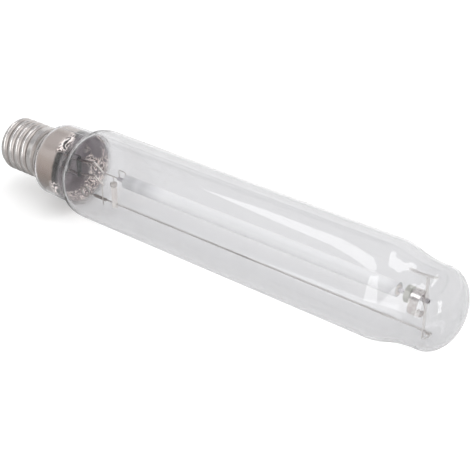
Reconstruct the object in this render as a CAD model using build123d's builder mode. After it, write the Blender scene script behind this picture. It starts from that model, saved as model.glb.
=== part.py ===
from build123d import *

import os
from math import acos, degrees, sin

# Tubular grow lamp with a rolled screw cap, in millimetres. The lamp lies along +X: x = 0 is
# the face of the centre contact, then come the cap's rim, the neck, the tube and the dome.
# The frame rod runs below the lamp's axis and the arc tube just above it, both in plane XZ.

os.makedirs("parts", exist_ok=True)

# Cap
overall_length = 383.5  # contact face to dome tip
cap_length = 45.0  # contact face to the shell's rim
thread_major = 39.5
thread_minor = 35.9
thread_pitch = 6.35
thread_round = 1.85  # radius of crest and root
shell_wall = 0.45
shell_start = 6.2
lip_diameter = 32.4  # hole in the shell's rolled end
crest_flat = 0.04  # crests turned down, so that neighbouring turns don't meet
crest_turned = 0.84  # share of the crest's round that the groove cuts
runout_length = 4.4  # ring in which the thread runs out before the rim
runout_depth = 0.12  # ring below the thread's root
runout_slope = 1.6
rim_band = 2.6  # plain band at the rim
rim_flare = 0.7
contact_diameter = 14.0
contact_thickness = 1.2
contact_hole = 4.0
insulator_face = 16.8
insulator_depth = 5.2  # reach inside the shell
insulator_waist = 1.3  # height of the cone's foot above the lip
insulator_bevel = 2.0
solder_height = 1.1
cement_start_gap = 4.0  # seal's end to the cement

# Glass
glass_wall = 1.2
tube_diameter = 65.5
neck_step = 12.3  # tube's diameter less the neck's at the rim
neck_end_step = 11.0  # tube's diameter less the neck's at the shoulder
neck_length = 35.0
neck_flat = 0.5  # flat of the neck's root between its two rounds
seal_diameter = 32.6  # neck inside the cap
seal_gap = 10.6  # insulator's inner end to the neck's sealed end
root_round = 1.5
shoulder_length = 12.0
crease_round = 2.0
dome_step = 11.0  # tube's diameter less the dome's
dome_depth = 18.2
dome_barrel = 3.3
nose_round = 33.7
nose_sweep = 56.5

# Stem
flare_rim = 1.2
flare_wall = 1.0
flare_tube_diameter = 17.0
flare_length = 11.0
pinch_set = 10.0  # pinch's end short of the shoulder
pinch_length = 22.0
pinch_thickness = 4.8
pinch_taper = 6.0
exhaust_diameter = 6.0
exhaust_wall = 1.0
exhaust_inset = 3.0  # neck's sealed end to the tip

# Leads
lead_spacing = 11.0
outer_lead_diameter = 0.8
post_diameter = 1.6
inner_lead_diameter = 1.0
frame_lead_diameter = 0.8
frame_lead_tail = 4.0  # frame lead beyond the rod
post_grip = 10.0  # length of post held in the pinch
post_bend = 2.5
post_spread = 2.6  # how far the posts bend apart beyond the pinch
post_crook_place = 6.0  # shoulder's start to the posts' outer bend
post_fall = 8.5  # outer bend to where the post meets the light source's axis
lead_bend = 1.8
bead_diameter = 2.6

# Frame
rod_diameter = 1.3
rod_inset = 5.85  # rod's axis inside the reach of the dome's springs
sleeve_diameter = 2.4
sleeve_length = 10.7
sleeve_gap = 4.6  # shoulder's start to the sleeve
rod_tail = 2.6  # rod beyond the sleeve
strut_diameter = 4.2
strut_place = 24.0  # shoulder's start to the strut
strut_top = 3.0  # strut's end below the lamp's axis
strut_foot = 2.8
strut_spare_hole = 1.0
ferrule_wall = 0.35
ferrule_grip = 2.0
strut_wire_diameter = 0.7
strap_place = 6.2  # dome strap to the dome's start
strap_width = 3.5
strap_thickness = 0.5
strap_eye = 6.8
leaf_thickness = 0.35
leaf_bow = 1.0
leaf_width = 2.6
leaf_set = 5.6  # upper leaf inside the lower one's reach
leaf_reach = 12.6  # upper leaf from the strap towards the arc tube
leaf_foot_length = 1.2
glass_gap = 0.7  # leaf and strap ends to the glass
rod_end_gap = 6.3  # rod's end beyond the dome strap
loop_width = 6.2
loop_diameter = 17.4
loop_thickness = 0.3
loop_corner = 4.0
loop_tab = 4.9  # flat held against the niobium tube
getter_diameter = 9.4
getter_channel = 1.4
getter_wire_diameter = 0.8
getter_wire_length = 2.7

# Light source
arc_rise = 2.6  # arc tube's axis above the lamp's axis
arc_tube_diameter = 9.5
arc_tube_wall = 0.9
arc_start_place = 36.5  # shoulder's start to the arc tube
arc_end_place = 18.9  # arc tube's end to the dome strap
plug_length = 4.5
niobium_diameter = 3.0
niobium_wall = 0.5
niobium_reach = 7.7  # niobium tube outside the arc tube, stem end
niobium_pass = 2.2  # niobium tube beyond the dome strap
electrode_diameter = 1.2
electrode_length = 14.2  # inside the arc tube
coil_diameter = 3.2
coil_wire = 0.8
coil_space = 0.784  # turn to turn, so that the turns just bite into each other
electrode_nose = 0.8  # rod's tip beyond the coil
coil_turns = 7
bush_diameter = 11.0
bush_length = 3.8
bush_place = 6.2  # arc tube's end to the bush
hoop_height = 5.6
hoop_wire = 0.7
hoop_round = 1.2

# Clearances
weld_gap = 0.05  # between wires that are welded side by side or end to end
slide_gap = 0.15  # round a tube or rod in a hole
cement_gap = 0.1
seat_gap = 0.15
flange_gap = 0.6  # insulator's flange to the shell's threaded wall
flange_step = 0.45  # flange's flat beside the shell's lip
rim_gap = 0.3

# Places along the lamp
neck_end = cap_length + neck_length
shoulder_end = neck_end + shoulder_length
neck_diameter = tube_diameter - neck_step
neck_end_diameter = tube_diameter - neck_end_step
neck_round = (neck_diameter - seal_diameter) / 2 - root_round - neck_flat
dome_diameter = tube_diameter - dome_step
nose_angle = acos(1 - dome_step / 2 / (nose_round + nose_sweep))
nose_length = (nose_round + nose_sweep) * sin(nose_angle)
dome_start = overall_length - dome_depth
nose_start = dome_start - dome_barrel - nose_length
seal_end = shell_start + insulator_depth + seal_gap
pinch_end = neck_end - pinch_set
pinch_start = pinch_end - pinch_length
lead_joint = pinch_end - post_grip
strap_x = dome_start - strap_place
arc_start = neck_end + arc_start_place
arc_end = strap_x - arc_end_place
sleeve_start = neck_end + sleeve_gap
sleeve_end = sleeve_start + sleeve_length
rod_end = strap_x + rod_end_gap
glass_reach = dome_diameter / 2 - glass_wall - glass_gap
rod_drop = glass_reach - rod_inset


def turn(*outline):
    """Revolve a closed outline of (x, radius) points round the lamp's axis."""
    with BuildSketch(Plane.XZ) as section:
        with BuildLine():
            Polyline(*outline, close=True)
        make_face()
    revolve(section.sketch, axis=Axis.X)


def tube_along(start, end, diameter, bore, height):
    """A round tube parallel to the lamp's axis, at a height above it."""
    with BuildSketch(Plane.YZ.offset(start)) as section:
        with Locations((0, height)):
            Circle(diameter / 2)
            if bore:
                Circle(bore / 2, mode=Mode.SUBTRACT)
    extrude(section.sketch, amount=end - start)


def wire_along(points, bend, diameter):
    """A round wire along a bent path of (x, z) points in the lamp's middle plane."""
    with BuildLine(Plane.XZ) as path:
        FilletPolyline(*points, radius=bend)
    with BuildSketch(Plane(path.line @ 0, z_dir=path.line % 0)) as section:
        Circle(diameter / 2)
    sweep(section.sketch, path=path.line)


def groove_section(root_x, inset):
    """One groove of the round thread, cut through the blank; inset moves it inwards."""
    flank = acos(1 - (thread_major - thread_minor) / 4 / thread_round)
    with BuildSketch(Plane.XZ) as section:
        with BuildLine():
            root = (root_x, thread_minor / 2 - inset)
            up = JernArc(root, (1, 0), thread_round + inset, degrees(flank))
            over = JernArc(up @ 1, up % 1, thread_round - inset, -degrees(flank * crest_turned))
            side = Line(over @ 1, ((over @ 1).X, thread_major / 2 + thread_round))
            Line(side @ 1, (root_x, (side @ 1).Y))
            mirror(about=Plane.YZ.offset(root_x))
        make_face()
    return section.sketch


def threaded_form(inset):
    """The screw shell's outer form, or with inset its inner one, as a solid."""
    crest = thread_major / 2 - inset - crest_flat
    lip = lip_diameter / 2
    curl = thread_major / 2 - lip - crest_flat
    band_start = cap_length - rim_band
    runout_start = band_start - runout_length
    runout_root = thread_minor / 2 - inset - runout_depth
    runout_edge = thread_major / 2 - inset
    outside = thread_major / 2 + thread_round
    first_x = shell_start - thread_pitch / 8
    last_x = runout_start - thread_pitch / 4
    with BuildPart() as form:
        with BuildSketch(Plane.XZ):
            with BuildLine():
                Line((shell_start + inset, 0), (shell_start + inset, lip))
                nose = JernArc((shell_start + inset, lip), (0, 1), curl - inset, -90)
                Line(nose @ 1, (band_start, crest))
                Line((band_start, crest), (cap_length, crest + rim_flare))
                Line((cap_length, crest + rim_flare), (cap_length, 0))
                Line((cap_length, 0), (shell_start + inset, 0))
            make_face()
        revolve(axis=Axis.X)
        with BuildLine() as path:
            Helix(thread_pitch, last_x - first_x, thread_minor / 2, (first_x, 0, 0), (1, 0, 0))
        sweep(
            groove_section(first_x, inset),
            path=path.line,
            is_frenet=True,
            mode=Mode.SUBTRACT,
        )
        with BuildSketch(Plane.XZ) as runout:
            with BuildLine():
                Polyline(
                    (runout_start, outside),
                    (runout_start, runout_edge),
                    (runout_start + runout_slope, runout_root),
                    (band_start - runout_slope, runout_root),
                    (band_start, runout_edge),
                    (band_start, outside),
                    close=True,
                )
            make_face()
        revolve(runout.sketch, axis=Axis.X, mode=Mode.SUBTRACT)
    return form.part


def envelope_form(inset):
    """The glass envelope's outer form, or with inset the space inside its wall."""
    seal = seal_diameter / 2 - inset
    root_x = cap_length + rim_gap
    neck = neck_diameter / 2 - inset
    neck_far = neck_end_diameter / 2 - inset
    with BuildPart() as form:
        with BuildSketch(Plane.XZ):
            with BuildLine():
                Line((seal_end, 0), (seal_end, seal))
                collar = Line((seal_end, seal), (root_x - root_round, seal))
                root = JernArc(collar @ 1, (1, 0), root_round + inset, 90)
                rise = Line(root @ 1, (root_x + inset, neck_diameter / 2 - neck_round))
                bulge = JernArc(rise @ 1, (0, 1), neck_round - inset, -90)
                Line(bulge @ 1, (neck_end + inset, neck_far))
                EllipticalCenterArc(
                    (shoulder_end, neck_far),
                    shoulder_length - inset,
                    (tube_diameter - neck_end_diameter) / 2,
                    start_angle=90,
                    arc_size=90,
                )
                tube = Line(
                    (shoulder_end, tube_diameter / 2 - inset),
                    (nose_start, tube_diameter / 2 - inset),
                )
                turn_down = degrees(nose_angle)
                over = JernArc(tube @ 1, (1, 0), nose_round - inset, -turn_down)
                under = JernArc(over @ 1, over % 1, nose_sweep + inset, turn_down)
                Line(under @ 1, (dome_start, dome_diameter / 2 - inset))
                EllipticalCenterArc(
                    (dome_start, 0),
                    dome_depth - inset,
                    dome_diameter / 2 - inset,
                    start_angle=0,
                    arc_size=90,
                )
                Line((dome_start + dome_depth - inset, 0), (seal_end, 0))
            make_face()
        revolve(axis=Axis.X)
        crease = form.edges().sort_by_distance((neck_end + inset, 0, neck_far))[0]
        fillet(crease, crease_round + inset)
    return form.part


# Cap

shell_outside = threaded_form(0)
shell_inside = threaded_form(shell_wall)

with BuildPart() as screw_shell:
    add(shell_outside)
    add(shell_inside, mode=Mode.SUBTRACT)
    with BuildSketch(Plane.YZ.offset(shell_start)):
        Circle(lip_diameter / 2)
    extrude(amount=shell_wall, mode=Mode.SUBTRACT)

lip_bore = lip_diameter / 2 - seat_gap
flange_x = shell_start + shell_wall + seat_gap
flange_radius = thread_minor / 2 - shell_wall - flange_gap
wire_bore = outer_lead_diameter / 2 + slide_gap

with BuildPart() as cap_insulator:
    turn(
        (contact_thickness, wire_bore),
        (contact_thickness, insulator_face / 2),
        (shell_start - insulator_waist, lip_bore),
        (flange_x, lip_bore),
        (flange_x, lip_bore + flange_step),
        (flange_x + insulator_bevel, flange_radius),
        (shell_start + insulator_depth, flange_radius),
        (shell_start + insulator_depth, wire_bore),
    )

with BuildPart() as centre_contact:
    tube_along(0, contact_thickness, contact_diameter, contact_hole, 0)
    rims = centre_contact.edges().filter_by(GeomType.CIRCLE).group_by(Axis.X)[0]
    fillet(rims.sort_by(SortBy.RADIUS)[-1], contact_thickness / 3)

with BuildPart() as contact_solder:
    tube_along(0, contact_thickness, contact_hole - weld_gap, 0, 0)

cement_start = seal_end + cement_start_gap
cement_end = cap_length - rim_band
cement_radius = thread_minor / 2 - runout_depth - shell_wall - cement_gap

with BuildPart() as basing_cement:
    turn(
        (cement_start, seal_diameter / 2 + cement_gap),
        (cement_start, cement_radius),
        (cement_end, cement_radius),
        (cement_end, seal_diameter / 2 + cement_gap),
    )

# Glass

bulb_outside = envelope_form(0)
bulb_inside = envelope_form(glass_wall)

with BuildPart() as outer_bulb:
    add(bulb_outside)
    add(bulb_inside, mode=Mode.SUBTRACT)

flare_bore = flare_tube_diameter / 2 - flare_wall
flare_mouth = seal_diameter / 2 - flare_rim
flare_neck = seal_diameter / 2 - glass_wall - seat_gap
pinch_width = flare_tube_diameter

with BuildPart() as stem_flare:
    with BuildSketch(Plane.XZ) as flare_section:
        with BuildLine():
            Line((seal_end - flare_rim, flare_mouth), (seal_end - flare_rim, seal_diameter / 2))
            Line((seal_end - flare_rim, seal_diameter / 2), (seal_end, seal_diameter / 2))
            Line((seal_end, seal_diameter / 2), (seal_end, flare_neck))
            EllipticalCenterArc(
                (seal_end + flare_length, flare_neck),
                flare_length,
                flare_neck - flare_tube_diameter / 2,
                start_angle=180,
                arc_size=90,
            )
            Line(
                (seal_end + flare_length, flare_tube_diameter / 2),
                (pinch_start, flare_tube_diameter / 2),
            )
            Line((pinch_start, flare_tube_diameter / 2), (pinch_start, flare_bore))
            Line((pinch_start, flare_bore), (seal_end + flare_length, flare_bore))
            EllipticalCenterArc(
                (seal_end + flare_length, flare_mouth),
                flare_length + flare_rim,
                flare_mouth - flare_bore,
                start_angle=180,
                arc_size=90,
            )
        make_face()
    revolve(flare_section.sketch, axis=Axis.X)
    with BuildSketch(Plane.YZ.offset(pinch_start)) as pinch_root:
        Circle(flare_tube_diameter / 2)
    with BuildSketch(Plane.YZ.offset(pinch_start + pinch_taper)) as pinch_face:
        RectangleRounded(pinch_thickness, pinch_width, pinch_thickness / 3)
    loft([pinch_root.sketch, pinch_face.sketch])
    extrude(pinch_face.sketch, amount=pinch_length - pinch_taper)
    with BuildSketch(Plane.YZ.offset(pinch_start)) as lead_holes:
        with Locations((0, lead_spacing / 2), (0, -lead_spacing / 2)):
            Circle(outer_lead_diameter / 2 + weld_gap)
    extrude(lead_holes.sketch, amount=lead_joint - pinch_start, mode=Mode.SUBTRACT)
    with BuildSketch(Plane.YZ.offset(lead_joint)) as post_holes:
        with Locations((0, lead_spacing / 2), (0, -lead_spacing / 2)):
            Circle(post_diameter / 2 + weld_gap)
    extrude(post_holes.sketch, amount=post_grip, mode=Mode.SUBTRACT)

exhaust_tip = seal_end + exhaust_inset

with BuildPart() as exhaust_tube:
    tube_along(exhaust_tip, pinch_start, exhaust_diameter, 0, 0)
    fillet(exhaust_tube.edges().group_by(Axis.X)[0], exhaust_diameter / 2 - exhaust_wall / 2)
    with BuildSketch(Plane.YZ.offset(exhaust_tip + exhaust_diameter / 2)) as pump_bore:
        Circle(exhaust_diameter / 2 - exhaust_wall)
    extrude(
        pump_bore.sketch,
        amount=pinch_start - exhaust_tip - exhaust_diameter / 2,
        mode=Mode.SUBTRACT,
    )

# Leads

lead_z = lead_spacing / 2
lead_turn_x = exhaust_tip - outer_lead_diameter - seat_gap

with BuildPart() as centre_lead:
    wire_along(
        [
            (lead_joint, lead_z),
            (lead_turn_x, lead_z),
            (shell_start + insulator_depth + lead_bend, 0),
            (contact_thickness + weld_gap, 0),
        ],
        lead_bend,
        outer_lead_diameter,
    )

side_lead_x = seal_end - flare_rim - lead_bend
bead_top = -(seal_diameter / 2)

with BuildPart() as side_lead:
    wire_along(
        [(lead_joint, -lead_z), (side_lead_x, -lead_z), (side_lead_x, bead_top)],
        lead_bend,
        outer_lead_diameter,
    )

with BuildPart() as side_lead_solder:
    with BuildSketch(Plane.XY.offset(bead_top - weld_gap)):
        with Locations((side_lead_x, 0)):
            Circle(bead_diameter / 2)
    extrude(amount=-solder_height)
    fillet(side_lead_solder.edges().group_by(Axis.Z)[-1], solder_height / 2)

post_out = pinch_end + post_bend
post_crook = neck_end + post_crook_place
post_level = post_crook + post_fall
post_x = lead_joint + weld_gap

with BuildPart() as arc_tube_post:
    wire_along(
        [
            (post_x, lead_z),
            (post_out, lead_z),
            (post_crook, lead_z + post_spread),
            (post_level, arc_rise),
        ],
        post_bend,
        post_diameter,
    )

niobium_start = arc_start - niobium_reach

with BuildPart() as arc_tube_lead:
    tube_along(
        post_level + post_diameter / 2,
        niobium_start - weld_gap,
        inner_lead_diameter,
        0,
        arc_rise,
    )

frame_post_x = sleeve_end - post_diameter
frame_post_end = -lead_z - post_spread + weld_gap

with BuildPart() as frame_post:
    wire_along(
        [
            (post_x, -lead_z),
            (post_out, -lead_z),
            (post_crook, -lead_z + post_spread),
            (frame_post_x, frame_post_end),
        ],
        post_bend,
        post_diameter,
    )

with BuildPart() as frame_lead:
    with BuildSketch(Plane.XY.offset(frame_post_end + post_diameter)) as lead_section:
        with Locations((frame_post_x, -(sleeve_diameter + frame_lead_diameter) / 2 - weld_gap)):
            Circle(frame_lead_diameter / 2)
    extrude(lead_section.sketch, amount=-frame_lead_tail - rod_drop - frame_post_end - post_diameter)

# Frame

rod_start = sleeve_start - rod_tail

with BuildPart() as frame_rod:
    tube_along(rod_start, rod_end, rod_diameter, 0, -rod_drop)

with BuildPart() as rod_sleeve:
    tube_along(sleeve_start, sleeve_end, sleeve_diameter, rod_diameter + weld_gap, -rod_drop)

ring_x = rod_start - getter_wire_length - getter_diameter / 2

with BuildPart() as getter_ring:
    with BuildSketch(Plane.YZ.offset(ring_x)) as channel:
        with Locations((0, getter_diameter / 2 - getter_channel / 2 - rod_drop)):
            Rectangle(getter_channel, getter_channel)
    revolve(channel.sketch, axis=Axis((ring_x, 0, -rod_drop), (0, 1, 0)))
    fillet(getter_ring.edges().group_by(Axis.Y)[-1], getter_channel / 4)

with BuildPart() as getter_wire:
    tube_along(
        ring_x + getter_diameter / 2 + weld_gap,
        rod_start - weld_gap,
        getter_wire_diameter,
        0,
        -rod_drop,
    )

strut_x = neck_end + strut_place
strut_low = -rod_drop - strut_foot

with BuildPart() as ceramic_strut:
    with BuildSketch(Plane.XY.offset(strut_low)):
        with Locations((strut_x, 0)):
            Circle(strut_diameter / 2)
    extrude(amount=-strut_top - strut_low)
    with BuildSketch(Plane.YZ.offset(strut_x)) as cross_holes:
        with Locations((0, -rod_drop)):
            Circle(rod_diameter / 2 + slide_gap)
        with Locations((0, -(rod_drop + strut_top) / 2 - strut_spare_hole)):
            Circle(strut_spare_hole / 2)
    extrude(cross_holes.sketch, amount=strut_diameter, both=True, mode=Mode.SUBTRACT)

ferrule_bore = strut_diameter / 2 + slide_gap
ferrule_top = -strut_top + seat_gap + ferrule_wall

with BuildPart() as strut_ferrule:
    with BuildSketch(Plane.XY.offset(ferrule_top - ferrule_grip - ferrule_wall)):
        with Locations((strut_x, 0)):
            Circle(ferrule_bore + ferrule_wall)
    extrude(amount=ferrule_grip + ferrule_wall)
    with BuildSketch(Plane.XY.offset(ferrule_top - ferrule_grip - ferrule_wall)):
        with Locations((strut_x, 0)):
            Circle(ferrule_bore)
    extrude(amount=ferrule_grip, mode=Mode.SUBTRACT)
    fillet(strut_ferrule.edges().group_by(Axis.Z)[-1], ferrule_wall)

with BuildPart() as strut_wire:
    with BuildSketch(Plane.XY.offset(ferrule_top + weld_gap)):
        with Locations((strut_x, 0)):
            Circle(strut_wire_diameter / 2)
    extrude(
        amount=arc_rise - inner_lead_diameter / 2 - ferrule_top - 2 * weld_gap,
    )

leaf_z = glass_reach - leaf_set
strap_top = leaf_z - leaf_thickness

with BuildPart() as dome_strap:
    with BuildSketch(Plane.YZ.offset(strap_x)):
        with Locations((0, (strap_top - glass_reach) / 2)):
            Rectangle(strap_width, strap_top + glass_reach)
        with Locations((0, arc_rise)):
            Circle(strap_eye / 2)
            Circle(niobium_diameter / 2 + slide_gap, mode=Mode.SUBTRACT)
        with Locations((0, -rod_drop)):
            Circle(rod_diameter / 2 + weld_gap, mode=Mode.SUBTRACT)
    extrude(amount=strap_thickness)

with BuildPart() as dome_spring_upper:
    with BuildSketch(Plane.XZ) as leaf_section:
        with BuildLine():
            near = (strap_x - leaf_reach, leaf_z + leaf_bow / 2)
            far = (rod_end, leaf_z + leaf_bow)
            low = ThreePointArc(near, (strap_x, leaf_z), far)
            high = offset(low, amount=leaf_thickness, side=Side.LEFT)
        make_face()
    extrude(leaf_section.sketch, amount=leaf_width / 2, both=True)

tab_z = -rod_drop - rod_diameter / 2 - weld_gap - leaf_thickness / 2
leaf_foot = strap_x + strap_thickness + glass_gap

with BuildPart() as dome_spring_lower:
    with BuildLine(Plane.XZ) as leaf_path:
        FilletPolyline(
            (leaf_foot + leaf_foot_length, tab_z),
            (rod_end, tab_z),
            (leaf_foot, -glass_reach + leaf_thickness),
            radius=2 * leaf_thickness,
        )
    with BuildSketch(Plane(leaf_path.line @ 0, x_dir=(0, 1, 0), z_dir=leaf_path.line % 0)):
        Rectangle(strap_width, leaf_thickness)
    sweep(path=leaf_path.line)

loop_end = strap_x - weld_gap
loop_start = loop_end - loop_width
loop_radius = loop_diameter / 2
tab_y = niobium_diameter / 2 + weld_gap + loop_thickness / 2
tab_low = arc_rise - niobium_diameter / 2

with BuildPart() as expansion_loop:
    with BuildLine(Plane.YZ.offset(loop_start)) as loop_path:
        tab = Line((tab_y, tab_low), (tab_y, tab_low + loop_tab))
        corner = JernArc(tab @ 1, (0, 1), loop_corner, 90)
        bow = JernArc(corner @ 1, (-1, 0), loop_radius, 180)
        Line(bow @ 1, (bow @ 1) + Vector(0, loop_radius / 2, 0))
    with BuildSketch(
        Plane(loop_path.line @ 0 + Vector(loop_width / 2, 0, 0), x_dir=(1, 0, 0), z_dir=(0, 0, 1))
    ):
        Rectangle(loop_width, loop_thickness)
    sweep(path=loop_path.line)

# Light source

arc_bore = arc_tube_diameter - 2 * arc_tube_wall
niobium_bore = niobium_diameter - 2 * niobium_wall

with BuildPart() as arc_tube:
    tube_along(arc_start, arc_end, arc_tube_diameter, arc_bore, arc_rise)

plug_bore = niobium_diameter + weld_gap
plug_diameter = arc_bore - weld_gap

with BuildPart() as arc_plug_stem:
    tube_along(arc_start, arc_start + plug_length, plug_diameter, plug_bore, arc_rise)

with BuildPart() as arc_plug_dome:
    tube_along(arc_end - plug_length, arc_end, plug_diameter, plug_bore, arc_rise)

niobium_dome_end = strap_x + niobium_pass

with BuildPart() as niobium_tube_stem:
    tube_along(niobium_start, arc_start + plug_length, niobium_diameter, niobium_bore, arc_rise)

with BuildPart() as niobium_tube_dome:
    tube_along(arc_end - plug_length, niobium_dome_end, niobium_diameter, niobium_bore, arc_rise)


def electrode(root, tip):
    """A tungsten rod from its root in the niobium tube to its tip, with a close-wound coil."""
    tube_along(min(root, tip), max(root, tip), electrode_diameter, 0, arc_rise)
    inwards = 1 if tip > root else -1
    coil_length = (coil_turns - 1) * coil_space
    coil_middle = tip - inwards * (electrode_nose + coil_wire / 2 + coil_length / 2)
    for turn_x in (coil_middle - coil_length / 2 + i * coil_space for i in range(coil_turns)):
        with BuildSketch(Plane.XZ) as wire_section:
            with Locations((turn_x, arc_rise + (coil_diameter - coil_wire) / 2)):
                Circle(coil_wire / 2)
        revolve(wire_section.sketch, axis=Axis((0, 0, arc_rise), (1, 0, 0)))
    tube_along(
        coil_middle - coil_length / 2,
        coil_middle + coil_length / 2,
        coil_diameter - coil_wire,
        0,
        arc_rise,
    )


with BuildPart() as electrode_stem:
    electrode(arc_start - plug_length / 2, arc_start + electrode_length)

with BuildPart() as electrode_dome:
    electrode(arc_end + plug_length / 2, arc_end - electrode_length)

hoop_foot = arc_rise + niobium_diameter / 2 + weld_gap
hoop_start = niobium_start + inner_lead_diameter
hoop_end = arc_start - rim_gap - hoop_wire / 2

with BuildPart() as lead_hoop:
    wire_along(
        [
            (hoop_start, hoop_foot),
            (hoop_start, hoop_foot + hoop_height),
            (hoop_end, hoop_foot + hoop_height),
            (hoop_end, hoop_foot),
        ],
        hoop_round,
        hoop_wire,
    )

with BuildPart() as slide_bush:
    tube_along(
        arc_end + bush_place,
        arc_end + bush_place + bush_length,
        bush_diameter,
        niobium_diameter + 2 * slide_gap,
        arc_rise,
    )

pieces = {
    "screw_shell": screw_shell,
    "cap_insulator": cap_insulator,
    "centre_contact": centre_contact,
    "contact_solder": contact_solder,
    "basing_cement": basing_cement,
    "outer_bulb": outer_bulb,
    "stem_flare": stem_flare,
    "exhaust_tube": exhaust_tube,
    "centre_lead": centre_lead,
    "side_lead": side_lead,
    "side_lead_solder": side_lead_solder,
    "arc_tube_post": arc_tube_post,
    "arc_tube_lead": arc_tube_lead,
    "frame_post": frame_post,
    "frame_lead": frame_lead,
    "frame_rod": frame_rod,
    "rod_sleeve": rod_sleeve,
    "getter_ring": getter_ring,
    "getter_wire": getter_wire,
    "ceramic_strut": ceramic_strut,
    "strut_ferrule": strut_ferrule,
    "strut_wire": strut_wire,
    "dome_strap": dome_strap,
    "dome_spring_upper": dome_spring_upper,
    "dome_spring_lower": dome_spring_lower,
    "expansion_loop": expansion_loop,
    "arc_tube": arc_tube,
    "arc_plug_stem": arc_plug_stem,
    "arc_plug_dome": arc_plug_dome,
    "niobium_tube_stem": niobium_tube_stem,
    "niobium_tube_dome": niobium_tube_dome,
    "electrode_stem": electrode_stem,
    "electrode_dome": electrode_dome,
    "lead_hoop": lead_hoop,
    "slide_bush": slide_bush,
}

for label, piece in pieces.items():
    piece.part.label = label
    export_step(piece.part, f"parts/{label}.step")
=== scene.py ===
import math

import bpy
from mathutils import Euler, Matrix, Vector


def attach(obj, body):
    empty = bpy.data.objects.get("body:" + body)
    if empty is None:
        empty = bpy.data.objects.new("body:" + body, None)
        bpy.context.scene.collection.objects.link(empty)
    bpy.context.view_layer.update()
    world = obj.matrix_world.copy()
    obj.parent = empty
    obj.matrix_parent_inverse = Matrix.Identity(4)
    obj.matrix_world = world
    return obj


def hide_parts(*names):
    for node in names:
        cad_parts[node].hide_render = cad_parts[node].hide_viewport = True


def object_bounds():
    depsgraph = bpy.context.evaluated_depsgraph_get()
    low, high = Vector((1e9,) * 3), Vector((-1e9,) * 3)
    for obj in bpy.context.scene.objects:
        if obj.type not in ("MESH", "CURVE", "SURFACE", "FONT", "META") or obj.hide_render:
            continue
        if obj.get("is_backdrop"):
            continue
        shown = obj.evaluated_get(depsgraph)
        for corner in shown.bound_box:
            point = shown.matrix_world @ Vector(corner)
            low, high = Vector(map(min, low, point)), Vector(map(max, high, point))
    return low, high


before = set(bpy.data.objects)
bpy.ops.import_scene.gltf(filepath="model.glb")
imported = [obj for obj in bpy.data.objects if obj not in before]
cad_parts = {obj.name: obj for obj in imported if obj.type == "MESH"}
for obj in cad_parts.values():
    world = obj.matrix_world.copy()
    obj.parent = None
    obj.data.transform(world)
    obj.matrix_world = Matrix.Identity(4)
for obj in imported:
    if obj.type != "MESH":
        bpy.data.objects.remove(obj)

# Tubular grow lamp with a rolled screw cap. Lengths are in metres: the lamp lies along X, with
# its cap's contact at x = 0, and rests on a pale floor.

CAD_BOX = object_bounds()
MM = 0.001

# The part's own sizes that the looks follow
RIM = 45.0 * MM  # contact to the cap's rim
TIP = 383.5 * MM  # contact to the dome's end
THREAD_ROOT = 17.9 * MM  # radii of the rolled thread
THREAD_CREST = 19.7 * MM
RIM_GAP = 0.3 * MM  # cap's rim to the neck
ROOT_ROUND = 1.5 * MM  # neck's first bend, inside the rim
NECK_FLAT = 0.5 * MM  # between the neck's two bends
NECK_ROUND = 8.3 * MM  # neck's second bend, outside
NECK_RADIUS = 26.6 * MM
NECK_RUN = 27.6 * MM  # second bend to the shoulder
NECK_SPREAD = 0.65 * MM  # what the neck's radius gains on that run
GLASS_WALL = 1.2 * MM
ARC_RISE = 2.6 * MM  # arc tube's axis above the lamp's
ELECTRODE_ROOTS = (("stem", 114.25 * MM, 1), ("dome", 342.5 * MM, -1))  # with the way inward

# The getter film: its span along the neck, its distance from the glass and its thickness, many
# times the real one so that its two faces stay apart
FILM_START = 45 * MM
FILM_END = 80 * MM
FILM_GAP = 0.1 * MM
FILM_SKIN = 0.06 * MM

# An electrode's real winding
COIL_START = 10.55 * MM  # electrode's root to its coil
COIL_LENGTH = 4.7 * MM
ROD_LENGTH = 16.4 * MM

# The stage: the floor, the grey cards' lower and upper level, and the light panels' planes
FLOOR = -32.8 * MM  # just under the lamp
FLOOR_REACH = 6.0
CARD_LEVEL = -32 * MM
CARD_TOP = 0.25
OVERHEAD = 0.6  # z
BESIDE = -0.7  # y
BEYOND = 1.2  # x

# The camera, solved from the photograph: degrees turned and tipped down, and its focal length
CAMERA_PLACE = (0.6364, -0.5417, 0.4076)
CAMERA_TURN = 37.97
CAMERA_DIP = 31.0
CAMERA_LENS = 91.91


# Materials: one function for colours, one that adds a node

def hex_colour(text):
    """An sRGB hex value as a linear colour."""
    parts = [int(text[i : i + 2], 16) / 255 for i in (1, 3, 5)]
    linear = [c / 12.92 if c <= 0.04045 else ((c + 0.055) / 1.055) ** 2.4 for c in parts]
    return (*linear, 1.0)


WHITE = hex_colour("#FFFFFF")


def node(tree, kind, values=None, links=None, stops=None, **settings):
    """Add one node, with its settings, socket values, incoming links and stops of hex colours."""
    made = tree.nodes.new(kind)
    for name, value in settings.items():
        setattr(made, name, value)
    for socket, value in (values or {}).items():
        made.inputs[socket].default_value = value
    for socket, source in (links or {}).items():
        tree.links.new(source, made.inputs[socket])
    if stops:
        elements = made.color_ramp.elements
        while len(elements) < len(stops):
            elements.new(1.0)
        for element, (place, colour) in zip(elements, stops):
            element.position = place
            element.color = hex_colour(colour)
    return made


def material(name):
    """An empty material, its tree and its output node."""
    made = bpy.data.materials.new(name)
    made.use_nodes = True
    made.node_tree.nodes.clear()
    return made, made.node_tree, node(made.node_tree, "ShaderNodeOutputMaterial")


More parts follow.
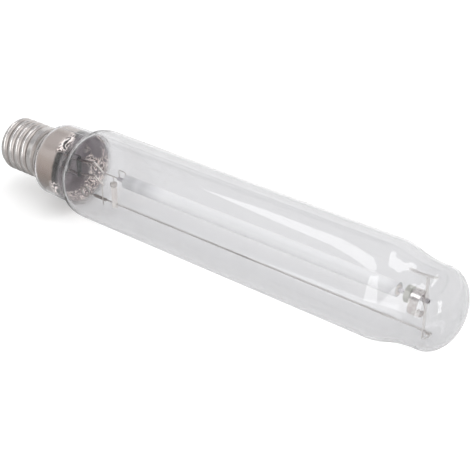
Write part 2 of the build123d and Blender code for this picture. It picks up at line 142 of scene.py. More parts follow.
def fine_bump(tree, place, size, depth, detail=3.0):
    """Bump from noise: the size and depth of its marks are in metres."""
    marks = node(
        tree,
        "ShaderNodeTexNoise",
        {"Scale": 1 / size, "Detail": detail},
        {"Vector": place},
    )
    return node(
        tree,
        "ShaderNodeBump",
        {"Strength": 1.0, "Distance": depth},
        {"Height": marks.outputs["Fac"]},
    ).outputs["Normal"]


def tint_along(tree, along, stops, start=0.0, end=TIP):
    """Colour by place along the lamp: stops are (millimetres from the contact, colour)."""
    share = node(
        tree,
        "ShaderNodeMapRange",
        {"From Min": start, "From Max": end},
        {"Value": along},
    ).outputs["Result"]
    return node(
        tree,
        "ShaderNodeValToRGB",
        links={"Fac": share},
        stops=[((x * MM - start) / (end - start), tint) for x, tint in stops],
    ).outputs["Color"]


def looked_at(tree):
    """1 for rays that look at a thing, straight or in glass and gloss; 0 for the light it gives."""
    path = node(tree, "ShaderNodeLightPath").outputs
    seen = path["Is Camera Ray"]
    for ray in ("Is Transmission Ray", "Is Glossy Ray"):
        seen = node(
            tree, "ShaderNodeMath", links={0: seen, 1: path[ray]}, operation="MAXIMUM"
        ).outputs[0]
    return seen


def mottled(name, dark, light, metallic, roughness, patch, grain, depth, stretch=(1, 1, 1)):
    """A surface whose colour and gloss vary in patches, with a grain; sizes in millimetres."""
    made, tree, out = material(name)
    place = node(tree, "ShaderNodeTexCoord").outputs["Object"]
    drawn = node(tree, "ShaderNodeMapping", {"Scale": stretch}, {"Vector": place}).outputs[0]
    patches = node(
        tree,
        "ShaderNodeTexNoise",
        {"Scale": 1 / (patch * MM), "Detail": 4.0, "Roughness": 0.6},
        {"Vector": drawn},
    ).outputs["Fac"]
    colour = node(
        tree, "ShaderNodeValToRGB", links={"Fac": patches}, stops=[(0.3, dark), (0.7, light)]
    )
    gloss = node(
        tree,
        "ShaderNodeMapRange",
        {"From Min": 0.3, "From Max": 0.7, "To Min": roughness[0], "To Max": roughness[1]},
        {"Value": patches},
    )
    shader = node(
        tree,
        "ShaderNodeBsdfPrincipled",
        {"Metallic": metallic},
        {
            "Base Color": colour.outputs["Color"],
            "Roughness": gloss.outputs["Result"],
            "Normal": fine_bump(tree, drawn, grain * MM, depth * MM),
        },
    )
    tree.links.new(shader.outputs[0], out.inputs["Surface"])
    return made


def clear_glass(name, stops, roughness, ripple, density):
    """Clear glass that lets light through to what it holds; stops tint it along the lamp."""
    made, tree, out = material(name)
    place = node(tree, "ShaderNodeTexCoord").outputs["Object"]
    along = node(tree, "ShaderNodeSeparateXYZ", links={"Vector": place}).outputs["X"]
    glass = node(
        tree,
        "ShaderNodeBsdfPrincipled",
        {"Roughness": roughness, "IOR": 1.48, "Transmission Weight": 1.0},
        {
            "Base Color": tint_along(tree, along, stops),
            "Normal": fine_bump(tree, place, 30 * MM, ripple, 1.0),
        },
    )
    # Rays of light go straight through, so the glass keeps its inside bright
    path = node(tree, "ShaderNodeLightPath")
    lets_by = node(
        tree,
        "ShaderNodeMath",
        operation="MAXIMUM",
        links={0: path.outputs["Is Shadow Ray"], 1: path.outputs["Is Diffuse Ray"]},
    )
    through = node(tree, "ShaderNodeBsdfTransparent", {"Color": WHITE})
    mix = node(
        tree,
        "ShaderNodeMixShader",
        links={0: lets_by.outputs[0], 1: glass.outputs[0], 2: through.outputs[0]},
    )
    tree.links.new(mix.outputs[0], out.inputs["Surface"])
    depth = node(
        tree,
        "ShaderNodeVolumeAbsorption",
        {"Color": hex_colour("#BCBCBE"), "Density": density},
    )
    tree.links.new(depth.outputs[0], out.inputs["Volume"])
    return made


def rolled_cap():
    """Nickel-plated rolled brass: painted shade darkens the roots, crests lighter, lined by the rolls.
    """
    made, tree, out = material("nickel_plated_rolled_brass")
    place = node(tree, "ShaderNodeTexCoord").outputs["Object"]
    # Marks drawn out round the cap. Real rolling lines are finer: these are as coarse as they
    # need to be to show.
    lines = node(
        tree,
        "ShaderNodeMapping",
        {"Scale": (1.0, 0.03, 0.03)},
        {"Vector": place},
    ).outputs[0]
    across = node(
        tree, "ShaderNodeVectorMath", {1: (0, 1, 1)}, {0: place}, operation="MULTIPLY"
    ).outputs[0]
    radius = node(
        tree, "ShaderNodeVectorMath", links={0: across}, operation="LENGTH"
    ).outputs["Value"]
    stains_and_shade = node(
        tree,
        "ShaderNodeTexNoise",
        {"Scale": 1 / (5 * MM), "Detail": 4.0, "Roughness": 0.6},
        {"Vector": lines},
    ).outputs["Fac"]
    # Painted shade: colour follows the radius, darker in the thread's roots and lighter on its crests,
    # mixed with stains
    height = node(
        tree,
        "ShaderNodeMapRange",
        {"From Min": THREAD_ROOT, "From Max": THREAD_CREST, "To Min": -0.12, "To Max": 0.5},
        {"Value": radius},
    ).outputs["Result"]
    wear_and_root_shade = node(tree, "ShaderNodeMath", links={0: height, 1: stains_and_shade}).outputs[0]
    colour = node(
        tree,
        "ShaderNodeValToRGB",
        links={"Fac": wear_and_root_shade},
        stops=[(0.26, "#6E6764"), (0.38, "#B4ADA9"), (0.65, "#C6C0BD"), (1.0, "#D0CDCB")],
    )
    gloss = node(
        tree,
        "ShaderNodeMapRange",
        {"From Min": 0.3, "From Max": 1.0, "To Min": 0.34, "To Max": 0.2},
        {"Value": wear_and_root_shade},
    )
    shader = node(
        tree,
        "ShaderNodeBsdfPrincipled",
        {"Metallic": 1.0},
        {
            "Base Color": colour.outputs["Color"],
            "Roughness": gloss.outputs["Result"],
            "Normal": fine_bump(tree, lines, 1.1 * MM, 0.1 * MM),
        },
    )
    tree.links.new(shader.outputs[0], out.inputs["Surface"])
    return made


def sintered_alumina():
    """Translucent sintered alumina: waxy white, with painted shade near the ends for its plug and
    electrode.
    """
    made, tree, out = material("translucent_sintered_alumina")
    place = node(tree, "ShaderNodeTexCoord").outputs["Object"]
    along = node(tree, "ShaderNodeSeparateXYZ", links={"Vector": place}).outputs["X"]
    # Painted shade: grey bands near the ends where the plug and electrode would show through the wall
    painted_plug_electrode_shade = [
        (117, "#D4D4D6"), (124, "#CBCBCD"), (129, "#E0E0E2"), (134, "#D5D5D7"), (140, "#E6E6E8"),
        (146, "#F2F2F4"), (154, "#FDFDFE"), (332, "#FDFDFE"), (339, "#EDEDEF"),
    ]
    shader = node(
        tree,
        "ShaderNodeBsdfPrincipled",
        {"Roughness": 0.55, "IOR": 1.4, "Transmission Weight": 0.04},
        {
            "Base Color": tint_along(tree, along, painted_plug_electrode_shade),
            "Normal": fine_bump(tree, place, 0.8 * MM, 0.01 * MM),
        },
    )
    tree.links.new(shader.outputs[0], out.inputs["Surface"])
    return made


def painted_fold_glints(tree, place, edge, crept, fold):
    """Where the metal has crept: thin folds painted as bright glints with brown sides, in clusters that
    come in between two places. Returns the painted glints' colour and how much of them shows."""
    folds = node(
        tree,
        "ShaderNodeTexNoise",
        {"Scale": 1 / fold, "Detail": 2.0, "Distortion": 2.2},
        {"Vector": place},
    ).outputs["Fac"]
    # Painted highlight: near-white glint lines with brown edges
    colour = node(
        tree,
        "ShaderNodeValToRGB",
        links={"Fac": folds},
        stops=[(0.42, "#3E2F2A"), (0.46, "#FFF0EA"), (0.53, "#FFF8F5"), (0.57, "#42322D")],
    ).outputs["Color"]
    line = node(
        tree,
        "ShaderNodeValToRGB",
        links={"Fac": folds},
        stops=[(0.39, "#000000"), (0.42, "#FFFFFF"), (0.57, "#FFFFFF"), (0.60, "#000000")],
    ).outputs["Color"]
    coming_in = node(
        tree,
        "ShaderNodeMapRange",
        {"From Min": crept[0], "From Max": crept[1]},
        {"Value": edge},
    ).outputs["Result"]
    clusters = node(
        tree,
        "ShaderNodeTexNoise",
        {"Scale": 1 / (22 * MM), "Detail": 1.0, "W": 5.0},
        {"Vector": place},
        noise_dimensions="4D",
    ).outputs["Fac"]
    patchy = node(
        tree,
        "ShaderNodeMapRange",
        {"From Min": 0.5, "From Max": 0.56},
        {"Value": clusters},
    ).outputs["Result"]
    share = node(
        tree, "ShaderNodeMath", links={0: coming_in, 1: patchy}, operation="MULTIPLY"
    ).outputs[0]
    share = node(
        tree, "ShaderNodeMath", links={0: share, 1: line}, operation="MULTIPLY"
    ).outputs[0]
    return colour, share


def getter_film(name, stops, stains_and_shade, metallic, roughness, ripple, crept, fold):
    """One face of the getter metal: stops tint it along the neck, and painted shade darkens it by its
    height; painted fold glints of the size given come in between the two places of crept."""
    made, tree, out = material(name)
    place = node(tree, "ShaderNodeTexCoord").outputs["Object"]
    parts = node(tree, "ShaderNodeSeparateXYZ", links={"Vector": place}).outputs
    clouds = node(
        tree,
        "ShaderNodeTexNoise",
        {"Scale": 1 / (6 * MM), "Detail": 5.0, "Roughness": 0.65},
        {"Vector": place},
    ).outputs["Fac"]
    ragged = node(tree, "ShaderNodeMath", {1: 0.5}, {0: clouds}, operation="SUBTRACT")
    edge = node(
        tree,
        "ShaderNodeMath",
        {1: 3 * MM},
        {0: ragged.outputs[0], 2: parts["X"]},
        operation="MULTIPLY_ADD",
    ).outputs[0]
    height = node(
        tree,
        "ShaderNodeMapRange",
        {"From Min": -NECK_RADIUS, "From Max": NECK_RADIUS},
        {"Value": parts["Z"]},
    ).outputs["Result"]
    # Painted shade: the film is darker towards the bottom of the neck
    shaded_by_height = node(tree, "ShaderNodeValToRGB", links={"Fac": height}, stops=stains_and_shade)
    flat_colour = node(
        tree,
        "ShaderNodeMix",
        {0: 1.0},
        {6: tint_along(tree, edge, stops, FILM_START, FILM_END), 7: shaded_by_height.outputs["Color"]},
        data_type="RGBA",
        blend_type="MULTIPLY",
    ).outputs[2]
    fold_glint_colour, share = painted_fold_glints(tree, place, edge, crept, fold)
    mirrored = node(
        tree,
        "ShaderNodeMapRange",
        {"To Min": metallic, "To Max": 0.0},
        {"Value": share},
    ).outputs["Result"]
    # The folds' glints are finer than a picture's dots, so a faint glow stands for them
    glint = node(tree, "ShaderNodeMath", {1: 0.3}, {0: share}, operation="MULTIPLY").outputs[0]
    colour = node(
        tree,
        "ShaderNodeMix",
        links={0: share, 6: flat_colour, 7: fold_glint_colour},
        data_type="RGBA",
    ).outputs[2]
    # The film thins out to nothing towards the shoulder
    thinning = [(71.5, "#FFFFFF"), (75, "#808080"), (78, "#000000")]
    shader = node(
        tree,
        "ShaderNodeBsdfPrincipled",
        {"Roughness": roughness},
        {
            "Metallic": mirrored,
            "Base Color": colour,
            "Alpha": tint_along(tree, edge, thinning, FILM_START, FILM_END),
            "Emission Color": fold_glint_colour,
            "Emission Strength": glint,
            "Normal": fine_bump(tree, place, 5 * MM, ripple),
        },
    )
    tree.links.new(shader.outputs[0], out.inputs["Surface"])
    return made


# Getter metal on the neck, seen through the glass: beige, with painted shade making it darker and
# browner on the lower side, and with a dense dark band at its edge
film_through_glass = getter_film(
    "getter_film_through_glass",
    stops=[(45, "#D9CDC6"), (66.6, "#D6CAC3"), (68.6, "#3A3533"), (73, "#312E2C"), (76, "#A29EA0")],
    stains_and_shade=[(0.3, "#867A71"), (0.52, "#B8ADA5"), (0.66, "#E2DBD6"), (0.82, "#FFFFFF")],
    metallic=0.7,
    roughness=0.35,
    ripple=0.02 * MM,
    crept=(64 * MM, 67 * MM),
    fold=8 * MM,
)
# Getter metal from inside the lamp: a violet-grey mirror, rippled, with painted fold glints and painted
# shade a little darker towards the bottom
film_inside_lamp = getter_film(
    "getter_film_inside_lamp",
    stops=[(45, "#A9A2A8"), (56, "#BFB8BE"), (62, "#D2CBD1"), (68, "#C8C2C7"), (73, "#D9D4D9")],
    stains_and_shade=[(0.0, "#E2DCDC"), (0.6, "#FFFFFF")],
    metallic=0.25,
    roughness=0.2,
    ripple=0.2 * MM,
    crept=(50 * MM, 56 * MM),
    fold=6 * MM,
)

finishes = {
    "rolled_cap": rolled_cap(),
    "alumina": sintered_alumina(),
    # Hard glass, blown and fire-polished: clear with a faint grey, darkened next to the cap's rim by
    # the cement behind it and by painted shade of the rim, a little deeper in the closed end, with long
    # slow waves
    "outer_glass": clear_glass(
        "fire_polished_hard_glass",
        stops=[(46, "#4A4441"), (48, "#928A86"), (50.5, "#EAEAEB"), (340, "#EAEAEB"), (362, "#E6E6E7")],
        roughness=0.0,
        ripple=0.02 * MM,
        density=40,
    ),
    # Pressed stem glass: clear, a little greyer beside the cement
    "stem_glass": clear_glass(
        "pressed_stem_glass",
        stops=[(46, "#E0DDDA"), (49.5, "#F6F6F5")],
        roughness=0.1,
        ripple=0.05 * MM,
        density=10,
    ),
}

# Finishes that vary in patches: the material's name, its dark and light colour, metallic, the
# two ends of its roughness, patch size, grain size and grain depth in millimetres, and how its
# marks are drawn out along X, Y and Z
in_patches = {
    # Moulded black glass: glossy, almost black, with faint flow marks
    "black_glass": ("moulded_black_glass", "#131315", "#1D1D20", 0.0, (0.10, 0.2), 4, 1, 0.01),
    # Stamped brass: yellow metal, lightly tarnished in patches
    "stamped_brass": ("stamped_brass", "#B08A4A", "#D3B473", 1.0, (0.22, 0.38), 3, 0.4, 0.01),
    # Soft solder: dull bright tin with a frozen skin
    "soft_solder": ("soft_solder", "#A3A3A6", "#C8C8CA", 1.0, (0.25, 0.45), 1.5, 0.6, 0.05),
    # Fired basing cement: matt, grainy and dull brown-grey
    "basing_cement": ("fired_basing_cement", "#857A6C", "#A39886", 0.0, (0.8, 0.95), 2, 0.5, 0.1),
    # Drawn copper wire with heat tints
    "copper": ("drawn_copper_wire", "#9C5A3C", "#CB8A62", 1.0, (0.25, 0.4), 3, 0.2, 0.01),
    # Drawn nickel wire: bright, with lines along it
    "nickel": (
        "drawn_nickel_wire", "#C9C2BC", "#ECE8E4", 1.0, (0.12, 0.28), 3, 0.2, 0.01, (0.1, 1, 1)
    ),
    # Nickel-plated steel rod: grey, with lines along it
    "steel_rod": (
        "nickel_plated_steel_rod", "#BEBAB7", "#E0DDDB", 1.0, (0.2, 0.38), 4, 0.2, 0.01, (0.1, 1, 1)
    ),
    # Steel tarnished by heat: brown-grey patches
    "heat_dark_steel": ("heat_darkened_steel", "#857D79", "#ADA5A1", 1.0, (0.3, 0.5), 1.5, 0.3, 0.02),
    # Fired ceramic: matt white, faintly cream, with a chalky grain
    "white_ceramic": ("fired_white_ceramic", "#EFE7E3", "#FBF7F4", 0.0, (0.55, 0.75), 2, 0.3, 0.03),
    # Fired ceramic with a grey-green cast: matt, with speckles
    "grey_ceramic": ("fired_grey_green_ceramic", "#AEAFA7", "#C4C4BE", 0.0, (0.6, 0.8), 1, 0.3, 0.03),
    # Drawn niobium: satin grey with a violet cast
    "niobium": ("drawn_niobium", "#C0BCC1", "#DFDCDF", 1.0, (0.25, 0.4), 2, 0.2, 0.01),
    # Tungsten with emitter paste: dark grey and rough
    "tungsten": ("pasted_tungsten_coil", "#3A3A3C", "#67676A", 1.0, (0.35, 0.55), 1, 0.2, 0.02),
    # Stainless leaves: ground to a satin
    "satin_strip": (
        "ground_stainless_strip", "#EFEBE8", "#FCFAF8", 1.0, (0.3, 0.45), 3, 0.3, 0.01, (0.2, 1, 1)
    ),
    # Stainless strip: bright rolled spring metal
    "spring_strip": ("rolled_stainless_strip", "#E2DAD6", "#F8F5F2", 1.0, (0.08, 0.22), 3, 0.3, 0.015),
}
for finish, look in in_patches.items():
    finishes[finish] = mottled(*look)

worn_by = {
    "rolled_cap": ["screw_shell"],
    "black_glass": ["cap_insulator"],
    "stamped_brass": ["centre_contact"],
    "soft_solder": ["contact_solder", "side_lead_solder"],
    "basing_cement": ["basing_cement"],
    "copper": ["centre_lead", "side_lead"],
    "nickel": [
        "arc_tube_post", "arc_tube_lead", "frame_post", "frame_lead", "lead_hoop", "strut_wire",
        "strut_ferrule",
    ],
    "steel_rod": ["frame_rod", "getter_wire", "getter_ring"],
    "heat_dark_steel": ["rod_sleeve"],
    "white_ceramic": ["ceramic_strut", "arc_plug_stem", "arc_plug_dome"],
    "grey_ceramic": ["slide_bush"],
    "niobium": ["niobium_tube_stem", "niobium_tube_dome"],
    "tungsten": ["electrode_stem", "electrode_dome"],
    "satin_strip": ["dome_strap", "dome_spring_upper", "dome_spring_lower"],
    "spring_strip": ["expansion_loop"],
    "alumina": ["arc_tube"],
    "outer_glass": ["outer_bulb"],
    "stem_glass": ["stem_flare", "exhaust_tube"],
}
for finish, names in worn_by.items():
    for name in names:
        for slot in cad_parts[name].material_slots:
            slot.material = finishes[finish]


# Geometry made in node trees, then kept as plain meshes

def geometry_tree(name, inputs):
    """A Geometry Nodes tree with named inputs; returns it with its input and output sockets."""
    tree = bpy.data.node_groups.new(name, "GeometryNodeTree")
    for label, kind in inputs.items():
        tree.interface.new_socket(label, in_out="INPUT", socket_type="NodeSocket" + kind)
    tree.interface.new_socket("Made", in_out="OUTPUT", socket_type="NodeSocketGeometry")
    return tree, node(tree, "NodeGroupInput").outputs, node(tree, "NodeGroupOutput").inputs


def grown(name, data, tree, values):
    """A plain mesh piece from a tree and its named inputs, at the origin."""
    seed = bpy.data.objects.new(name + "_seed", data)
    bpy.context.collection.objects.link(seed)
    maker = seed.modifiers.new("maker", "NODES")
    maker.node_group = tree
    for socket in tree.interface.items_tree:
        if socket.in_out == "INPUT" and socket.name in values:
            maker[socket.identifier] = values[socket.name]
    ready = seed.evaluated_get(bpy.context.evaluated_depsgraph_get())
    mesh = bpy.data.meshes.new_from_object(ready)
    mesh.name = name
    seed.modifiers.remove(maker)
    bpy.data.objects.remove(seed)
    piece = bpy.data.objects.new(name, mesh)
    bpy.context.collection.objects.link(piece)
    return piece


# The getter's mirror on the neck's inner wall

def bend(x, radius, reach, first, last, count):
    """(x, radius) points round a bend's centre, between two angles in degrees."""
    angles = [math.radians(first + (last - first) * i / (count - 1)) for i in range(count)]
    return [(x + reach * math.cos(angle), radius + reach * math.sin(angle)) for angle in angles]


def neck_wall(gap):
    """(x, radius) points a gap inside the neck's inner wall, from the cap to the shoulder."""
    bulge_x, bulge_r = RIM + RIM_GAP + NECK_ROUND, NECK_RADIUS - NECK_ROUND
    root_x, root_r = RIM + RIM_GAP - ROOT_ROUND, bulge_r - NECK_FLAT
    root_reach = ROOT_ROUND + GLASS_WALL + gap
    bulge_reach = NECK_ROUND - GLASS_WALL - gap
    return [
        *bend(root_x, root_r, root_reach, -90, 0, 6),
        *bend(bulge_x, bulge_r, bulge_reach, 180, 90, 13),
        *[
            (x * MM, bulge_r + bulge_reach + (x * MM - bulge_x) * NECK_SPREAD / NECK_RUN)
            for x in (60, 66, 72, 78)
        ],
    ]


def turned_skin_tree():
    """Turns a closed profile curve of (x, radius) round the lamp's axis."""
    tree, given, made = geometry_tree(
        "turned_skin",
        {
            "Profile": "Geometry",
            "Steps Along": "Int",
            "Steps Round": "Int",
            "Outer Finish": "Material",
            "Inner Finish": "Material",
        },
    )
    grid = node(
        tree,
        "GeometryNodeMeshGrid",
        {"Size X": 1.0, "Size Y": 1.0},
        {"Vertices X": given["Steps Along"], "Vertices Y": given["Steps Round"]},
    ).outputs["Mesh"]
    place = node(
        tree, "ShaderNodeSeparateXYZ", links={0: node(tree, "GeometryNodeInputPosition").outputs[0]}
    ).outputs
    inside = node(tree, "ShaderNodeMath", {1: 0.0}, {0: place["X"]}, operation="GREATER_THAN")
    marked = node(
        tree,
        "GeometryNodeStoreNamedAttribute",
        {"Name": "faces_in"},
        {"Geometry": grid, "Value": inside.outputs[0]},
        data_type="FLOAT",
        domain="FACE",
    ).outputs[0]
    along = node(tree, "ShaderNodeMath", {1: 0.5}, {0: place["X"]}, operation="ADD").outputs[0]
    sample = node(
        tree,
        "GeometryNodeSampleCurve",
        links={"Curves": given["Profile"], "Factor": along},
        mode="FACTOR",
        use_all_curves=True,
    ).outputs["Position"]
    profile = node(tree, "ShaderNodeSeparateXYZ", links={0: sample}).outputs
    angle = node(
        tree, "ShaderNodeMath", {1: 2 * math.pi}, {0: place["Y"]}, operation="MULTIPLY"
    ).outputs[0]
    cosine = node(tree, "ShaderNodeMath", links={0: angle}, operation="COSINE").outputs[0]
    sine = node(tree, "ShaderNodeMath", links={0: angle}, operation="SINE").outputs[0]
    y = node(tree, "ShaderNodeMath", links={0: profile["Y"], 1: cosine}, operation="MULTIPLY")
    z = node(tree, "ShaderNodeMath", links={0: profile["Y"], 1: sine}, operation="MULTIPLY")
    turned = node(
        tree,
        "ShaderNodeCombineXYZ",
        links={"X": profile["X"], "Y": y.outputs[0], "Z": z.outputs[0]},
    ).outputs[0]
    placed = node(
        tree, "GeometryNodeSetPosition", links={"Geometry": marked, "Position": turned}
    ).outputs[0]
    joined = node(
        tree, "GeometryNodeMergeByDistance", {"Distance": 0.001 * MM}, {"Geometry": placed}
    ).outputs[0]
    smooth = node(tree, "GeometryNodeSetShadeSmooth", links={"Geometry": joined}).outputs[0]
    whole = node(tree, "GeometryNodeRealizeInstances", links={"Geometry": smooth}).outputs[0]
    outer = node(
        tree,
        "GeometryNodeSetMaterial",
        links={"Geometry": whole, "Material": given["Outer Finish"]},
    ).outputs[0]
    faces_in = node(
        tree, "GeometryNodeInputNamedAttribute", {"Name": "faces_in"}, data_type="FLOAT"
    ).outputs["Attribute"]
    both = node(
        tree,
        "GeometryNodeSetMaterial",
        links={"Geometry": outer, "Selection": faces_in, "Material": given["Inner Finish"]},
    ).outputs[0]
    tree.links.new(both, made[0])
    return tree


wall_points = neck_wall(FILM_GAP) + neck_wall(FILM_GAP + FILM_SKIN)[::-1]
wall_curve = bpy.data.curves.new("neck_wall", "CURVE")
wall_curve.dimensions = "3D"
wall_line = wall_curve.splines.new("POLY")
wall_line.points.add(len(wall_points) - 1)
for point, (x, radius) in zip(wall_line.points, wall_points):
    point.co = (x, radius, 0, 1)
wall_line.use_cyclic_u = True
mirror = grown(
    "getter_mirror",
    wall_curve,
    turned_skin_tree(),
    {
        "Steps Along": 121,
        "Steps Round": 129,
        "Outer Finish": film_through_glass,
        "Inner Finish": film_inside_lamp,
    },
)
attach(mirror, "root")


# The electrodes' real windings, in place of plain rings

def wound_coil_tree():
    """Winds a wire into a coil along Z from the origin, round a straight rod."""
    tree, given, made = geometry_tree(
        "wound_coil",
        {
            "Base": "Geometry",
            "Turns": "Float",
            "Coil Radius": "Float",
            "Coil Length": "Float",
            "Wire Radius": "Float",
            "Rod Radius": "Float",
            "Rod Length": "Float",
            "Rod Middle": "Float",
            "Finish": "Material",
        },
    )
    winding = node(
        tree,
        "GeometryNodeCurveSpiral",
        {"Resolution": 32},
        {
            "Rotations": given["Turns"],
            "Start Radius": given["Coil Radius"],
            "End Radius": given["Coil Radius"],
            "Height": given["Coil Length"],
        },
    ).outputs[0]
    section = node(
        tree,
        "GeometryNodeCurvePrimitiveCircle",
        {"Resolution": 12},
        {"Radius": given["Wire Radius"]},
    ).outputs["Curve"]
    coil = node(
        tree,
        "GeometryNodeCurveToMesh",
        {"Fill Caps": True},
        {"Curve": winding, "Profile Curve": section},
    ).outputs[0]
    rod = node(
        tree,
        "GeometryNodeMeshCylinder",
        {"Vertices": 24},
        {"Radius": given["Rod Radius"], "Depth": given["Rod Length"]},
    ).outputs["Mesh"]
    middle = node(tree, "ShaderNodeCombineXYZ", links={"Z": given["Rod Middle"]}).outputs[0]
    rod = node(
        tree, "GeometryNodeTransform", links={"Geometry": rod, "Translation": middle}
    ).outputs[0]
    joined = node(tree, "GeometryNodeJoinGeometry")
    for piece in (given["Base"], coil, rod):
        tree.links.new(piece, joined.inputs[0])
    smooth = node(
        tree, "GeometryNodeSetShadeSmooth", links={"Geometry": joined.outputs[0]}
    ).outputs[0]
    whole = node(tree, "GeometryNodeRealizeInstances", links={"Geometry": smooth}).outputs[0]
    finished = node(
        tree,
        "GeometryNodeSetMaterial",
        links={"Geometry": whole, "Material": given["Finish"]},
    ).outputs[0]
    tree.links.new(finished, made[0])
    return tree


coil_tree = wound_coil_tree()
for end, root_x, inward in ELECTRODE_ROOTS:
    electrode = grown(
        "electrode_" + end + "_winding",
        bpy.data.meshes.new("electrode_" + end + "_seed"),
        coil_tree,
        {
            "Turns": 6.0,
            "Coil Radius": 1.2 * MM,
            "Coil Length": COIL_LENGTH,
            "Wire Radius": 0.39 * MM,
            "Rod Radius": 0.6 * MM,
            "Rod Length": ROD_LENGTH,
            "Rod Middle": ROD_LENGTH / 2 - COIL_START,
            "Finish": finishes["tungsten"],
        },
    )
    along_lamp = Matrix.Rotation(math.radians(90) * inward, 4, "Y")
    coil_place = Matrix.Translation((root_x + inward * COIL_START, 0, ARC_RISE))
    electrode.data.transform(coil_place @ along_lamp)
    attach(electrode, "root")
    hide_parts("electrode_" + end)


# Floor and world: a plain level of light, and a white that is only looked at

def staged_sheet(name, points, faces, finish, unseen_by=()):
    """A staged mesh of flat faces, unseen by the kinds of ray named."""
    mesh = bpy.data.meshes.new(name)
    mesh.from_pydata(points, [], faces)
    mesh.materials.append(finish)
    sheet = bpy.data.objects.new(name, mesh)
    bpy.context.collection.objects.link(sheet)
    for ray in unseen_by:
        setattr(sheet, "visible_" + ray, False)
    sheet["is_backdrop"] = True


def floor_finish():
    """Pale matt floor that shows white behind the lamp and still takes its shadow."""
    made, tree, out = material("pale_matt_floor")
    matt = node(
        tree, "ShaderNodeBsdfPrincipled", {"Base Color": hex_colour("#EAEAEA"), "Roughness": 0.9}
    )
    strength = node(
        tree, "ShaderNodeMath", {1: 0.26}, {0: looked_at(tree)}, operation="MULTIPLY"
    )
    white = node(tree, "ShaderNodeEmission", {"Color": WHITE}, {"Strength": strength.outputs[0]})
    both = node(tree, "ShaderNodeAddShader", links={0: matt.outputs[0], 1: white.outputs[0]})
    tree.links.new(both.outputs[0], out.inputs["Surface"])
    return made


floor_corners = [(-1, -1), (1, -1), (1, 1), (-1, 1)]
staged_sheet(
    "floor",
    [(x * FLOOR_REACH, y * FLOOR_REACH, FLOOR) for x, y in floor_corners],
    [(0, 1, 2, 3)],
    floor_finish(),
)

# Looked at in the glass, the world has a grey ring above the horizon, which draws the tube's
# edges darker
world = bpy.data.worlds.new("studio")
bpy.context.scene.world = world
world.use_nodes = True
sky = world.node_tree
sky.nodes.clear()
height = node(
    sky,
    "ShaderNodeSeparateXYZ",
    links={"Vector": node(sky, "ShaderNodeTexCoord").outputs["Generated"]},
).outputs["Z"]
walls = node(
    sky,
    "ShaderNodeValToRGB",
    links={"Fac": height},
    stops=[(0.54, "#FFFFFF"), (0.6, "#A2A2A5"), (0.64, "#A2A2A5"), (0.7, "#DADADC"), (1.0, "#E0E0E2")],
)
plain = node(sky, "ShaderNodeBackground", {"Color": WHITE, "Strength": 0.99})
bright = node(
    sky, "ShaderNodeBackground", {"Strength": 1.0}, {"Color": walls.outputs["Color"]}
)
mix = node(
    sky,
    "ShaderNodeMixShader",
    links={0: looked_at(sky), 1: plain.outputs[0], 2: bright.outputs[0]},
)
node(sky, "ShaderNodeOutputWorld", links={"Surface": mix.outputs[0]})


# Panels of light, whose mirror images are the bright strips in the glass

def light_panel(name, corners, strength, lights=True):
    """A flat light cut to its corners (x, y, z); with lights off it is only seen in the glass."""
    made, tree, out = material(name + "_glow")
    glow = node(tree, "ShaderNodeEmission", {"Color": WHITE, "Strength": strength})
    tree.links.new(glow.outputs[0], out.inputs["Surface"])
    unseen_by = ["camera"] if lights else ["camera", "diffuse"]
    staged_sheet(name, corners, [tuple(range(len(corners)))], made, unseen_by)


over_tube = [
    (-0.194, 0.06), (-0.109, 0.145), (0.0, 0.15), (0.03, 0.1), (0.062, -0.02), (0.149, -0.12),
    (0.205, -0.24), (0.205, -0.345), (0.02, -0.345), (0.022, -0.2), (0.0, -0.1), (-0.1, -0.03),
]
light_panel("overhead_panel", [(x, y, OVERHEAD) for x, y in over_tube], 2.9)
over_dome = [
    (0.225, 0.33), (0.26, 0.39), (0.3, 0.345), (0.335, 0.26), (0.352, 0.225), (0.38, 0.222),
    (0.395, 0.26), (0.41, 0.29), (0.425, 0.25), (0.44, 0.2), (0.46, 0.13), (0.47, 0.05),
    (0.465, 0.0), (0.44, -0.06), (0.4, -0.09), (0.375, -0.06), (0.35, 0.0), (0.3, 0.1),
    (0.25, 0.19), (0.23, 0.26),
]
light_panel("dome_panel", [(x, y, OVERHEAD) for x, y in over_dome], 3.2)
beside_tube = [
    (0.155, -0.05), (0.443, -0.02), (0.443, 0.25), (0.425, 0.535), (0.334, 0.985), (0.04, 0.8),
    (0.129, 0.397), (0.156, 0.137),
]
light_panel("side_panel", [(x, BESIDE, z) for x, z in beside_tube], 3.0, lights=False)
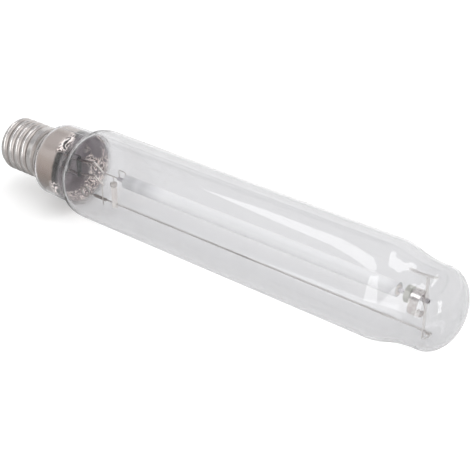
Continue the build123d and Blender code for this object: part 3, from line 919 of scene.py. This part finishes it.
beyond_dome = [
    (-0.2, 0.0), (-0.03, -0.03), (-0.05, 0.14), (0.02, 0.18), (0.0, 0.36), (-0.09, 0.3),
    (-0.12, 0.42), (-0.22, 0.42), (-0.14, 0.2),
]
light_panel("end_panel", [(BEYOND, y, z) for y, z in beyond_dome], 4.5, lights=False)


# Grey cards: a low corner in front of the cap and a sheet under the glass. Only mirrored in the
# lamp's outer faces, they shade the cap's lower threads and draw the dome's outline.

def grey_card(name, points, faces, grey):
    """A matt card that only shows in outer faces that mirror it."""
    made, tree, out = material(name)
    matt = node(tree, "ShaderNodeBsdfDiffuse", {"Color": hex_colour(grey)})
    tree.links.new(matt.outputs[0], out.inputs["Surface"])
    staged_sheet(name, points, faces, made, ["camera", "diffuse", "transmission", "shadow"])


low_corner = [(-0.5, 0.2), (0.04, 0.2), (0.04, -0.6), (-0.5, -0.6)]
top_corner = [(-0.5, 0.2), (-0.5, -0.6), (0.04, -0.6)]
grey_card(
    "corner_card",
    [(x, y, CARD_LEVEL) for x, y in low_corner] + [(x, y, CARD_TOP) for x, y in top_corner],
    [(0, 1, 2, 3), (0, 3, 5, 4), (3, 2, 6, 5)],
    "#C6C6C6",
)
under_glass = [(0.05, -0.2), (0.8, -0.2), (0.8, 0.4), (0.345, 0.4), (0.345, 0.0), (0.05, 0.0)]
grey_card(
    "floor_card",
    [(x, y, CARD_LEVEL) for x, y in under_glass],
    [(0, 1, 2, 3, 4, 5)],
    "#CCCCCC",
)


# Camera

camera_data = bpy.data.cameras.new("camera")
camera_data.sensor_width = 36
camera_data.lens = CAMERA_LENS
camera_data.clip_start = 0.01
camera = bpy.data.objects.new("camera", camera_data)
aim = Euler((math.radians(90 - CAMERA_DIP), 0, math.radians(CAMERA_TURN)))
camera.matrix_world = Matrix.Translation(CAMERA_PLACE) @ aim.to_matrix().to_4x4()
bpy.context.collection.objects.link(camera)
bpy.context.scene.camera = camera
bpy.context.scene.view_settings.view_transform = "Standard"

plain = [[list(map(float, corner)) for corner in box] for box in (CAD_BOX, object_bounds())]
